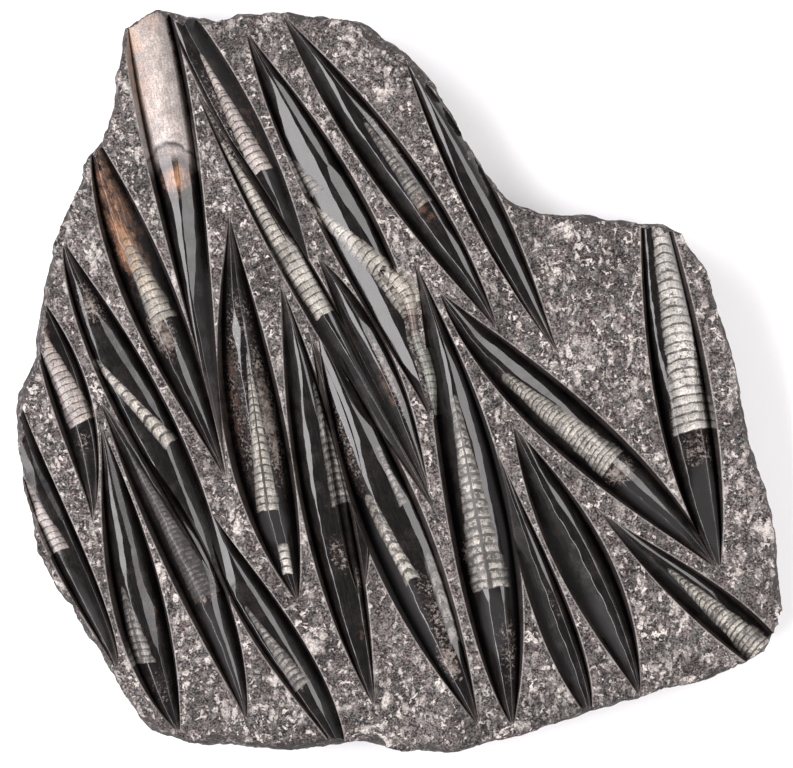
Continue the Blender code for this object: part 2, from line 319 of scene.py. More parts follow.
# A shell is two points, its half width at each, how many rings it has, how far they arch, its
# tint, how much of it has worn away, and then: core is the dark line along its middle, bend is
# how far it bows to the left, matt is how dull it is and fade is how its tip dies away.
Shell = namedtuple(
    "Shell",
    "trench start end half_start half_end rings arch tint wear core bend matt fade",
    defaults=(0.0, 0.0, 0.20, 0.45),
)
WHITE = (0.34, 0.295, 0.27)
CREAM = (0.335, 0.312, 0.272)
ROSE = (0.40, 0.35, 0.32)
PALE = (0.44, 0.415, 0.38)
PINK_GREY = (0.32, 0.28, 0.255)
DULL = (0.21, 0.195, 0.178)
GREY = (0.095, 0.086, 0.079)
SHELLS = (
    Shell("white_cone", (-119, 173.5), (-103.5, 97), 11.6, 13.6, 1.15, 0.15, WHITE, -1.0,
          matt=0.30, fade=0.0),
    Shell("rust_cone", (-127, 71), (-106.5, 28), 1.6, 6.1, 13, 0.35, CREAM, 0.2, fade=1.0),
    Shell("top_ringed", (-90, 148), (-62, 95), 0.7, 5.2, 19, 0.35, ROSE, 0.2),
    Shell("long_ringed", (-80.5, 108), (-52.5, 59.5), 0.6, 4.9, 18, 0.2, CREAM, 0.2),
    Shell("long_ringed", (-54, 63), (-34, 30), 6.3, 4.6, 11, 0.2, CREAM, 0.2),
    Shell("grey_faceted", (-50.5, 88), (-2, 45.5), 1.0, 5.8, 18, 0.3, CREAM, 0.15),
    Shell("grey_faceted", (-9.5, 53), (4.5, 31), 5.6, 4.0, 9, 0.4, CREAM, 0.3, fade=0.0),
    Shell("grey_faceted", (-56, 107), (-38, 84.5), 1.2, 4.6, 9, 0.2, DULL, 0.3, matt=0.3),
    Shell("brown_spindle", (-69, 13.5), (-59.5, -58), 0.5, 5.5, 21, 0.3, CREAM, 0.4, core=1.0),
    Shell("brown_spindle", (-53, -72.5), (-50.5, -86.5), 2.4, 2.4, 4, 0.2, PALE, 0.4),
    Shell("lower_black", (-39, 0), (-26.2, -55), 0.6, 4.8, 16, 0.3, DULL, 0.9),
    Shell("middle_left", (-39, 0), (-26.2, -55), 0.6, 4.8, 16, 0.3, DULL, 0.9),
    Shell("lower_wide", (-15, -50.5), (5.5, -89), 2.2, 3.6, 9, 0.5, CREAM, 0.7, bend=-0.6),
    Shell("lower_wide", (-10.5, -28.5), (1.5, -55), 1.1, 2.1, 10, 0.3, DULL, 0.6),
    Shell("lower_wide", (12, -76), (25, -116.5), 2.6, 2.8, 5, 0.5, DULL, 0.9),
    Shell("split_ringed", (24, -5.5), (41, -93), 1.4, 8.9, 22, 0.35, CREAM, 0.9, core=1.0,
          matt=0.35),
    Shell("upper_ringed", (-16, 117), (11, 80), 0.9, 4.2, 18, 0.3, DULL, 0.9),
    Shell("diagonal_ringed", (46, 3.5), (95.5, -36.5), 2.0, 7.9, 27, 0.6, CREAM, 0.6),
    Shell("corner_ringed", (120.5, -84), (166.5, -124.5), 0.9, 7.8, 24, 0.7, CREAM, 0.9),
    Shell("right_ringed", (115, 78), (133, -21.5), 2.7, 10.0, 25, 0.45, PALE, 0.4, fade=0.2),
    Shell("lower_ringed", (-70, -101), (-44, -137), 0.6, 4.2, 15, 0.3, DULL, 0.9),
    Shell("bent_ringed", (-138.5, 10.5), (-103.5, -27.5), 1.5, 3.6, 10, 0.3, CREAM, 0.4),
    Shell("lower_grey", (-123.5, -29), (-87, -96.5), 0.4, 6.6, 34, 0.5, GREY, 1.0, core=0.5),
    Shell("left_streaked", (-125.5, -92), (-116, -127), 0.7, 6.3, 11, 0.4, DULL, 0.8, core=0.8),
    Shell("left_stub", (-163, 23.5), (-143, -18), 2.2, 6.8, 15, 0.3, PINK_GREY, 0.15, fade=0.2),
    Shell("edge_ringed", (-170.5, -43), (-154, -76.5), 1.2, 5.4, 12, 0.3, PINK_GREY, 0.2),
)
BED_SHELL = 6  # the one that the crossing body grows out of
BED_END = 0.95  # how far along it the bed beside the crossing body is shell
BED_ACROSS = 0.5
SHELL_SEED = 7.3  # from one shell's random rings to the next one's
CROSSING_SEED = 99.0
CROSSING_SPAN = 1.06  # of its rings, from just before its tip to just past its end
CROSSING_SIDES = 0.8  # how far out its rings are read
CROSSING_TRAITS = dict(form=(23, 0.5, 0.0), wear=(0.1, 0.25, 0.0))
CROSSING_TINTS = (  # share along, then its tint there
    (0.0, 0.40, 0.37, 0.32),
    (0.28, 0.36, 0.32, 0.27),
    (0.36, 0.12, 0.085, 0.07),
    (0.44, 0.12, 0.09, 0.075),
    (0.50, 0.22, 0.22, 0.185),
    (1.0, 0.15, 0.155, 0.135),
)

# Patches in the bodies: kind, middle along the trench and from rim to rim, half size along and
# across, and amount, all in percent. RUST is orange-brown, BROKEN is crushed shell and HAZE is
# plain dark grey.
RUST, BROKEN, HAZE = 0, 1, 2
PATCHES = {
    "rust_cone": (
        (RUST, 20, -10, 26, 95, 60), (RUST, 31, -15, 11, 50, 100), (BROKEN, 57, -10, 7, 45, 100),
    ),
    "white_cone": (
        (RUST, 43.5, 0, 3, 60, 100), (RUST, 21, -75, 11, 50, 65), (RUST, 13, -30, 4, 80, 60),
    ),
    "top_ringed": ((BROKEN, 42, -55, 18, 30, 45), (RUST, 46, 55, 16, 25, 35)),
    "long_ringed": ((BROKEN, 10, 10, 10, 60, 50),),
    "brown_spindle": (
        (RUST, 48, -60, 26, 32, 35), (BROKEN, 52, 48, 18, 25, 100), (BROKEN, 26, 10, 8, 70, 35),
        (BROKEN, 46, -35, 28, 40, 40), (HAZE, 80, -10, 4.5, 55, 100),
    ),
    "lower_black": (
        (BROKEN, 64, 5, 5, 35, 45), (RUST, 83, 45, 4, 25, 40), (BROKEN, 70, 62, 3, 20, 70),
    ),
    "middle_left": ((RUST, 43, 25, 7, 25, 35),),
    "lower_wide": (
        (BROKEN, 28, -55, 12, 25, 50), (BROKEN, 72, 20, 12, 45, 50), (HAZE, 68, -55, 22, 40, 90),
        (BROKEN, 83, -5, 5, 50, 100),
    ),
    "middle_right": ((RUST, 56, -10, 12, 28, 35), (BROKEN, 50, 30, 20, 22, 80)),
    "split_ringed": (
        (BROKEN, 84, 30, 8, 50, 40), (HAZE, 50, 72, 30, 22, 100), (BROKEN, 63, -50, 3, 25, 80),
        (HAZE, 78, -10, 7, 45, 80),
    ),
    "black_left": ((BROKEN, 60, 25, 7, 20, 35),),
    "black_right": ((HAZE, 75, -30, 14, 40, 70),),
    "diagonal_ringed": ((BROKEN, 64.5, 0, 3, 60, 100), (HAZE, 78, -20, 11, 50, 80)),
    "right_ringed": ((BROKEN, 73.5, 20, 4.5, 70, 45), (HAZE, 87, 20, 10, 60, 100)),
    "upper_ringed": ((RUST, 64, 10, 6, 45, 40), (BROKEN, 42, 50, 12, 25, 40)),
    "lower_ringed": ((BROKEN, 65, -20, 5, 45, 90),),
    "bent_ringed": ((BROKEN, 16, 10, 6, 60, 70),),
    "lower_grey": ((BROKEN, 60, 10, 5, 60, 80), (HAZE, 78, -10, 15, 40, 80)),
    "left_streaked": ((RUST, 60, 40, 12, 30, 35), (BROKEN, 85, 0, 6, 60, 30)),
    "left_stub": ((RUST, 16, -50, 10, 55, 45), (BROKEN, 66, 10, 7, 50, 35)),
    "edge_ringed": ((BROKEN, 33, -50, 3, 30, 80), (HAZE, 78, -20, 15, 35, 60)),
}
PATCH_SPREAD = 1.35  # how far a patch fades out past its half size

# What a corner of a polished face tells its shader, and how the bodies are told apart there
CORNER_FACTS = ("place", "shell", "form", "tint", "wear", "patch")
NO_SHELL = (-9, 9, 0)
DEEP = 5.0  # mm from any rim
BODY_APART = 400  # mm

# ---- The studio ----

FACE_CENTRE = (-1.575 * MM, -0.9 * MM)  # where the camera looks, in the slab's plan
VIEW_WIDTH = 356.9 * MM
CAMERA_HEIGHT = 1.25
SENSOR = 36  # mm
FLOOR_REACH = 4
# Softboxes: place, size along the slab and up, radiance and colour
SOFTBOXES = {
    "left_box": ((-1.0, -0.05, 1.0), (2.3, 0.60), 9.5, (1.0, 0.965, 0.990)),
    "right_box": ((1.0, 0.10, 1.0), (2.3, 0.55), 6.0, (1.0, 0.965, 0.970)),
}
ROOM_FADE = (0.15, 0.80)  # heights between which the room's light fades, 0 at the horizon
ROOM_LIGHT = (0.75, 0.15)  # below and above them
ROOM_COLOUR = (0.96, 0.97, 1.0, 1)


def line_axes(start, end):
    """A line given in mm: its start, its axis, its length and the direction across it."""
    start, end = np.array((start, end), float) * MM
    axis = end - start
    length = np.hypot(*axis)
    return start, axis, length, np.array((-axis[1], axis[0])) / length


# ---- Heights ----


def bulge(along, widest):
    """0 at both tips of a trench and 1 where its rim bulges most."""
    along = np.clip(along, 0, 1)
    rise = (along / widest) ** (2 * widest)
    return rise * ((1 - along) / (1 - widest)) ** (2 * (1 - widest))


def trench_axes(trench):
    return line_axes(trench.head, trench.tail)


def rims(trench, along):
    """Left and right rim, as distances across from the line between the tips."""
    left = -trench.left * MM * bulge(along, trench.left_at)
    return left, trench.right * MM * bulge(along, trench.right_at)


def read_knots(knots, along, whole=1):
    """The columns of a table of knots, at shares along. The table says whole for 1."""
    table = np.array(knots, float).T / whole
    return [np.interp(along, table[0], column) for column in table[1:]]


def wander(trench, along, salt):
    """A slow, uneven swing along a trench."""
    run = along * trench_axes(trench)[2] / MM
    phase = 2.4 * TRENCHES.index(trench) + 1.7 * salt
    return sum(
        swing * np.sin(2 * math.pi * run / wave + phase * (1 + number))
        for number, (wave, swing) in enumerate(WAVES)
    )


def facets(trench, along):
    """The crest as a share from rim to rim, and the facets on the left and the right flank.

    A facet is where it starts and ends, 0 at the crest and 1 in the groove.
    """
    ground = GROUND[trench.name]
    crest = read_knots(ground.crest, along, PERCENT)[0] + wander(trench, along, 0)
    spans = []
    for side, knots in ((-1, ground.left), (1, ground.right)):
        if knots:
            first, last = read_knots(knots, along, PERCENT)
            near, far = np.sort((side * first, side * last), axis=0)
        else:
            near = far = side * crest + PLAIN_EDGE
        flank = GROOVE_AT - side * crest
        near = (near - side * crest) / flank + wander(trench, along, 2 + side)
        far = (far - side * crest) / flank + wander(trench, along, 5 + side)
        near = np.clip(near, THINNEST, FACET_END - THINNEST)
        spans.append((near, np.clip(far, near + THINNEST, FACET_END)))
    return crest, spans


def lit_slope(trench):
    """The slope at which a flank mirrors the soft light on its side into the camera."""
    across = trench_axes(trench)[3]
    return math.tan(math.atan2(1, abs(across[0])) / 2)


def flank_drop(run, near, far, reach, depth, lit):
    """How far a flank has dropped at a run from 0, the crest, to 1, the groove."""
    top = TOP_SLOPE * reach * np.minimum(run, near) ** 2 / near
    facet = lit * reach * (np.clip(run, near, far) - near)
    past = np.maximum(run - far, 0) / (1 - far)
    steep = STEEP_SLOPE * reach * (1 - far)
    spent = TOP_SLOPE * reach * near + lit * reach * (far - near) + steep
    rounded = np.clip(depth - spent, 0, STEEPEST * reach * (1 - far))
    return top + facet + steep * past + rounded * past**2


def lip_share(width):
    """The width of the worn lip, as a share of half the trench's width."""
    return np.minimum(2 * LIP_WIDTH / width, LIP_MOST * (1 - GROOVE_AT))


def section(trench, along, share):
    """Height over the slab's face at a share from the left rim (-1) to the right (1)."""
    left, right = rims(trench, along)
    width = np.maximum(right - left, TINY)
    widest = (trench.left + trench.right) * MM
    depth = TRENCH_DEPTH_SHARE * widest * (width / widest) ** TRENCH_TAPER
    crest, spans = facets(trench, along)
    on_right = share > crest
    flank = np.where(on_right, GROOVE_AT - crest, GROOVE_AT + crest)
    near, far = (np.where(on_right, there, here) for here, there in zip(*spans))
    run = np.clip(np.abs(share - crest) / flank, 0, 1)
    form = (near, far, flank * width / 2, depth * (1 - CREST_SUNK), lit_slope(trench))
    body = CREST_SUNK * depth + flank_drop(run, *form)
    groove = CREST_SUNK * depth + flank_drop(1.0, *form)
    lip = lip_share(width)
    drop = np.minimum(LIP_DROP, LIP_DEEPEST * depth)
    side = np.abs(share)
    wall = groove + (drop - groove) * (side - GROOVE_AT) / (1 - lip - GROOVE_AT)
    worn = drop * (1 - side) / lip
    return -np.where(side < GROOVE_AT, body, np.where(side < 1 - lip, wall, worn))


def trench_share(trench, places):
    """Where plan points lie in a trench: along it, and across it from rim to rim."""
    head, axis, length, across = trench_axes(trench)
    along = (places - head) @ axis / length**2
    left, right = rims(trench, along)
    off = (places - head) @ across
    return along, (2 * off - left - right) / np.maximum(right - left, TINY)


def trench_height(trench, places):
    along, share = trench_share(trench, places)
    return section(trench, along, share)


# ---- Meshes ----


def mesh_object(name, points, faces, material=None):
    mesh = bpy.data.meshes.new(name)
    mesh.from_pydata([tuple(map(float, point)) for point in points], [], faces)
    if material:
        mesh.materials.append(material)
    shape = bmesh.new()
    shape.from_mesh(mesh)
    bmesh.ops.recalc_face_normals(shape, faces=shape.faces)
    shape.to_mesh(mesh)
    shape.free()
    made = bpy.data.objects.new(name, mesh)
    bpy.context.scene.collection.objects.link(made)
    return made


def chipped_outline():
    """The outline with its long runs divided, as in the part."""
    corners = [Vector(corner) * MM for corner in OUTLINE]
    points = []
    for start, end in zip(corners, corners[1:] + corners[:1]):
        parts = math.ceil((end - start).length / SIDE_STEP)
        points += [start.lerp(end, step / parts) for step in range(parts)]
    return points


def outward(points, index):
    along = points[(index + 1) % len(points)] - points[index - 1]
    return Vector((-along.y, along.x)).normalized()


def edge_rings():
    """The part's own rings of the chipped edge, from the back to the face."""
    rough = random.Random(7)
    outline = chipped_outline()
    rings = []
    for share, inset, roughness in EDGE_LEVELS:
        ring = []
        for index, point in enumerate(outline):
            back = (inset + rough.uniform(-roughness, roughness)) * MM
            place = point - outward(outline, index) * back
            ring.append((place.x, place.y, share * THICKNESS))
        rings.append(ring)
    return np.array(rings)


def fine_edge(rings):
    """The rings divided round and up, each point chipped inwards a little."""
    closed = np.concatenate([rings, rings[:, :1]], axis=1)
    steps = np.hypot(*np.diff(closed[2, :, :2], axis=0).T)
    places = np.concatenate([[0], np.cumsum(steps)])
    around = np.linspace(0, places[-1], int(places[-1] / EDGE_GRID), endpoint=False)
    fine = np.array([
        [np.interp(around, places, closed[level, :, axis]) for axis in range(3)]
        for level in range(len(rings))
    ]).transpose(0, 2, 1)
    heights = rings[:, 0, 2]
    rows = np.linspace(0, THICKNESS, EDGE_ROWS)
    edge = np.array([
        [np.interp(row, heights, fine[:, index, axis]) for axis in range(3)]
        for row in rows for index in range(len(around))
    ]).reshape(EDGE_ROWS, len(around), 3)
    along = np.roll(edge, -EDGE_REACH, axis=1) - np.roll(edge, EDGE_REACH, axis=1)
    along /= np.hypot(along[..., 0], along[..., 1])[..., None]
    for row in range(EDGE_ROWS):
        high = max(row / (EDGE_ROWS - 1) - 0.5, 0) * 2
        for index in range(len(around)):
            place = Vector(edge[row, index])
            rough = noise.fractal(place / CHIP_SIZE, 0.8, 2.0, 4) * 0.5 + 0.5
            ledge = noise.noise(place / LEDGE_SIZE) * 0.5 + 0.5
            torn = noise.fractal(place / TORN_SIZE + BEVEL_SEED, 0.8, 2.0, 4) + 0.3
            back = CHIP * min(max(0.7 * rough + 0.9 * ledge - 0.45, 0), 1)
            back += BEVEL * high**2 * min(max(torn, 0.05), 1)
            inward = Vector((along[row, index, 1], -along[row, index, 0], 0))
            edge[row, index] = place + inward * back
    return edge


def slab_blank(material):
    """The uncut slab: flat back, flat face and a chipped edge between them."""
    edge = fine_edge(edge_rings())
    rows, count = edge.shape[:2]
    faces = [tuple(range(count)), tuple(reversed(range((rows - 1) * count, rows * count)))]
    for row in range(rows - 1):
        for index in range(count):
            after = (index + 1) % count
            low, high = row * count, (row + 1) * count
            faces.append((low + index, high + index, high + after, low + after))
    return mesh_object("slab_stone", edge.reshape(-1, 3), faces, material)


def body_shares(trench, along):
    """Where a body is sampled across, so that the edges of its facets run along the mesh."""
    crest, spans = facets(trench, along)
    flanks = []
    for side, (near, far) in zip((-1, 1), spans):
        runs = [near / 2, near]
        runs += [near + (far - near) * share for share in FACET_RUNS]
        runs += [far + (1 - far) * share for share in STEEP_RUNS]
        flanks.append(crest + side * np.array(runs) * (GROOVE_AT - side * crest))
    return np.concatenate([flanks[0][::-1], [crest], flanks[1]])


def trench_cutter(trench, material):
    """A closed solid of all that is cut away for one fossil, down to its polished back."""
    head, axis, length, across = trench_axes(trench)
    stations = math.ceil(length / STATION_LENGTH)
    top = THICKNESS + CLEARANCE_ABOVE
    points = [(*head, THICKNESS), (*head, top)]
    for station in range(1, stations):
        along = station / stations
        left, right = (float(rim) for rim in rims(trench, along))
        lip = lip_share(right - left)
        shares = np.concatenate([[-1, lip - 1], body_shares(trench, along), [1 - lip, 1]])
        heights = section(trench, along, shares) + THICKNESS
        heights[[0, -1]] = THICKNESS
        middle, half = (left + right) / 2, (right - left) / 2
        places = head + axis * along + across * (middle + half * shares)[:, None]
        points += [(*place, height) for place, height in zip(places, heights)]
        points += [(*places[-1], top), (*places[0], top)]
    tail = head + axis
    points += [(*tail, THICKNESS), (*tail, top)]
    faces = loft(len(shares) + 2, stations - 1)
    return mesh_object("cutter_" + trench.name, points, faces, material)


def loft(ring, rings):
    """Faces round and along equal rings, closed at either end on a low and a high tip point.

    The last two corners of a ring are its upper ones, on the right and on the left.
    """
    def at(station, corner):
        return 2 + station * ring + corner % ring

    faces = []
    for station in range(rings - 1):
        for corner in range(ring):
            faces.append((
                at(station, corner), at(station, corner + 1),
                at(station + 1, corner + 1), at(station + 1, corner),
            ))
    right, left = ring - 2, ring - 1
    for station, low_tip in ((0, 0), (rings - 1, 2 + rings * ring)):
        high_tip = low_tip + 1
        for corner in range(right - 1):
            faces.append((at(station, corner), at(station, corner + 1), low_tip))
        faces.append((at(station, right - 1), at(station, right), high_tip, low_tip))
        faces.append((at(station, right), at(station, left), high_tip))
        faces.append((at(station, left), at(station, 0), low_tip, high_tip))
    return faces


def carve(stone, cutters):
    group = bpy.data.collections.new("trench_cutters")
    bpy.context.scene.collection.children.link(group)
    for cutter in cutters:
        bpy.context.scene.collection.objects.unlink(cutter)
        group.objects.link(cutter)
    cut = stone.modifiers.new("trenches", "BOOLEAN")
    cut.operation = "DIFFERENCE"
    cut.operand_type = "COLLECTION"
    cut.collection = group
    cut.solver = "MANIFOLD"
    cut.material_mode = "TRANSFER"
    graph = bpy.context.evaluated_depsgraph_get()
    carved = bpy.data.meshes.new_from_object(stone.evaluated_get(graph), depsgraph=graph)
    stone.modifiers.clear()
    stone.data = carved
    for cutter in cutters:
        bpy.data.objects.remove(cutter)
    bpy.data.collections.remove(group)


def crossing_line():
    """The crossing body's smooth centre line: distances along, centres, across and half widths."""
    knots = np.array([point for point, _ in CROSSING], float) * MM
    halves = np.array([half for _, half in CROSSING]) * MM
    runs = np.concatenate([[0], np.cumsum(np.hypot(*np.diff(knots, axis=0).T))])
    places = np.linspace(0, runs[-1], CROSSING_STATIONS)
    centres = np.array([smooth_curve(runs, knots[:, axis], places) for axis in (0, 1)]).T
    half = np.maximum(smooth_curve(runs, halves, places), CROSSING_THINNEST)
    along = np.gradient(centres, axis=0)
    along /= np.hypot(*along.T)[:, None]
    return places, centres, np.array((-along[:, 1], along[:, 0])).T, half


def swept_faces(ring, rings):
    """Faces round and along equal rings, with a flat end at either end."""
    faces = [tuple(reversed(range(ring))), tuple(range((rings - 1) * ring, rings * ring))]
    for station in range(rings - 1):
        for corner in range(ring):
            after = (corner + 1) % ring
            low, high = station * ring, (station + 1) * ring
            faces.append((low + corner, low + after, high + after, high + corner))
    return faces


def crossing_mesh():
    """The body that lies over its neighbours, swept along its curved centre line."""
    places, centres, across, half = crossing_line()
    base, crest = THICKNESS - CROSSING_FOOT, THICKNESS - CROSSING_CREST
    wide = np.minimum(1, half / CROSSING_WIDE)
    lift = (crest - base) * (CROSSING_LOW + (1 - CROSSING_LOW) * wide)
    shares = np.sin(np.linspace(-math.pi / 2, math.pi / 2, CROSSING_POINTS))
    arch = 1 - np.abs(shares) ** CROSSING_ROUND
    heights = CROSSING_SIDE + arch * (1 - CROSSING_SIDE)
    heights[[0, -1]] = 0
    points, told = [], []
    for station, place in enumerate(places):
        for share, height in zip(shares, heights):
            spot = centres[station] + across[station] * share * half[station]
            points.append((*spot, base + lift[station] * height))
            told.append((place / places[-1], share, place, share * half[station]))
    return points, swept_faces(CROSSING_POINTS, len(places)), np.array(told)


def crossing_seat(material):
    """The shallow bed along the crossing body, so that no stone covers it."""
    places, centres, across, half = crossing_line()
    low, high = THICKNESS - SEAT_DEPTH, THICKNESS + CLEARANCE_ABOVE
    points = []
    for station in range(0, len(places), SEAT_EVERY):
        for side, height in ((-1, low), (1, low), (1, high), (-1, high)):
            spot = centres[station] + across[station] * side * (half[station] + SEAT_MARGIN)
            points.append((*spot, height))
    return mesh_object("cutter_seat", points, swept_faces(4, len(points) // 4), material)


def smooth_curve(runs, values, places):
    """A smooth curve through the values, straight beyond its ends."""
    slopes = np.gradient(values, runs)
    index = np.clip(np.searchsorted(runs, places) - 1, 0, len(runs) - 2)
    step = runs[index + 1] - runs[index]
    share = (places - runs[index]) / step
    rise, fall = share**2 * (3 - 2 * share), share * (1 - share)
    bend = fall * ((1 - share) * slopes[index] - share * slopes[index + 1]) * step
    return values[index] + (values[index + 1] - values[index]) * rise + bend


# ---- What every corner of the polished faces knows ----


def array_of(items, name, width=1, kind=np.float32):
    values = np.empty(len(items) * width, kind)
    items.foreach_get(name, values)
    return values.reshape(-1, width) if width > 1 else values


def shell_place(shell, places):
    """Where plan points lie in a ringed shell: along it, and across in half widths."""
    start, axis, length, across = line_axes(shell.start, shell.end)
    along = (places - start) @ axis / length**2
    near = np.clip(along, 0, 1)
    half = (shell.half_start + (shell.half_end - shell.half_start) * near) * MM
    off = (places - start) @ across - shell.bend * MM * 4 * near * (1 - near)
    return along, off / half


def slopes_of(trench, places):
    """The upward normals of a trench's surface at plan points."""
    falls = [
        trench_height(trench, places - step) - trench_height(trench, places + step)
        for step in np.eye(2) * SLOPE_STEP
    ]
    normals = np.stack([*falls, np.full(len(places), 2 * SLOPE_STEP)], axis=1)
    return normals / np.linalg.norm(normals, axis=1)[:, None]


def tell_shell(told, corners, shell, along, across):
    """Notes which shell some corners lie in, and where in it."""
    seed = np.full(len(along), SHELL_SEED * SHELLS.index(shell))
    told["shell"][corners] = np.stack([along, across, seed], 1)
    told["form"][corners] = (shell.rings, shell.arch, shell.core)
    told["tint"][corners] = shell.tint
    told["wear"][corners] = (shell.wear, shell.matt, shell.fade)


def tell_shells(told, picked, trench, corners, middles):
    """Notes for a trench's corners the shell that is nearest to the middle of their face."""
    shells = [shell for shell in SHELLS if shell.trench == trench.name]
    nearness = []
    for shell in shells:
        u, v = shell_place(shell, middles[picked])
        nearness.append(np.maximum(np.abs(2 * u - 1), np.abs(v) * 0.5))
    for index, shell in enumerate(shells):
        mine = picked[np.argmin(nearness, axis=0) == index]
        tell_shell(told, mine, shell, *shell_place(shell, corners[mine]))


def tell_patches(told, picked, trench, along, share):
    """Notes for a trench's corners how strong each kind of patch is there."""
    for kind, *facts in PATCHES.get(trench.name, ()):
        middle, off, long, wide, amount = np.array(facts) / PERCENT
        far = np.hypot((along - middle) / long, (share - off) / wide)
        shown = amount * np.clip(PATCH_SPREAD - far, 0, 1)
        told["patch"][picked, kind] = np.maximum(told["patch"][picked, kind], shown)


def keep_facts(mesh, told):
    """Stores what the corners were told, where the shader reads it."""
    for name, values in told.items():
        kept = mesh.attributes.new(name, "FLOAT_VECTOR", "CORNER")
        kept.data.foreach_set("vector", values.astype(np.float32).ravel())


def dress(stone):
    """Sets the fine normals of the carved faces, and the attributes their shader reads."""
    mesh = stone.data
    points = array_of(mesh.vertices, "co", 3)
    corner_point = array_of(mesh.loops, "vertex_index", kind=np.int32)
    counts = array_of(mesh.polygons, "loop_total", kind=np.int32)
    owner = array_of(mesh.polygons, "material_index", kind=np.int32)
    centres = array_of(mesh.polygons, "center", 3)
    upward = array_of(mesh.polygons, "normal", 3)[:, 2]
    face = np.repeat(np.arange(len(counts)), counts)
    corners = points[corner_point][:, :2].astype(float)
    middles = centres[face][:, :2].astype(float)
    normals = np.zeros((len(corners), 3))
    told = {name: np.zeros((len(corners), 3)) for name in CORNER_FACTS}
    told["shell"][:] = NO_SHELL
    for number, trench in enumerate(TRENCHES):
        picked = np.flatnonzero(owner[face] == number + 1)
        places = corners[picked]
        normals[picked] = slopes_of(trench, places + NUDGE * (middles[picked] - places))
        head, axis, length, across = trench_axes(trench)
        along, share = trench_share(trench, places)
        left, right = rims(trench, along)
        told["place"][picked, 0] = (places - head) @ axis / length / MM + BODY_APART * number
        told["place"][picked, 1] = (places - head) @ across / MM
        told["place"][picked, 2] = (1 - np.abs(share)) * (right - left) / 2 / MM
        tell_shells(told, picked, trench, corners, middles)
        tell_patches(told, picked, trench, along, share)
    # The bed beside the crossing body is shell where it meets the ringed one, else stone
    seat = np.flatnonzero(owner[face] > len(TRENCHES))
    told["place"][seat, 2] = DEEP
    along = shell_place(SHELLS[BED_SHELL], middles[seat])[0]
    tell_shell(told, seat, SHELLS[BED_SHELL], along, np.full(len(along), BED_ACROSS))
    stony = face[seat[along > BED_END]]
    keep_facts(mesh, told)
    flat = (owner == 0) & (upward > LEVEL) & (centres[:, 2] > THICKNESS - 0.01 * MM)
    normals[flat[face]] = (0, 0, 1)
    role = np.where(owner > 0, 1, np.where(flat, 0, np.where(upward < -LEVEL, 3, 2)))
    role[stony] = 0
    mesh.materials.clear()
    for material in (matrix_material(), polished_material(), broken_material(), sawn_material()):
        mesh.materials.append(material)
    mesh.polygons.foreach_set("material_index", role.astype(np.int32))
    mesh.polygons.foreach_set("use_smooth", np.ones(len(counts), bool))
    rough_edge(mesh, role)
    mesh.normals_split_custom_set([tuple(normal) for normal in normals])
    mesh.update()


def rough_edge(mesh, role):
    """Keeps the ends of the chipped edge crisp."""
    sharp = array_of(mesh.edges, "use_edge_sharp", kind=bool)
    pairs = {}
    for polygon in mesh.polygons:
        if role[polygon.index] >= 2:
            for edge in polygon.edge_keys:
                pairs.setdefault(edge, set()).add(role[polygon.index])
    for index, edge in enumerate(mesh.edges):
        if len(pairs.get(edge.key, ())) > 1:
            sharp[index] = True
    mesh.edges.foreach_set("use_edge_sharp", sharp)


# ---- Materials ----


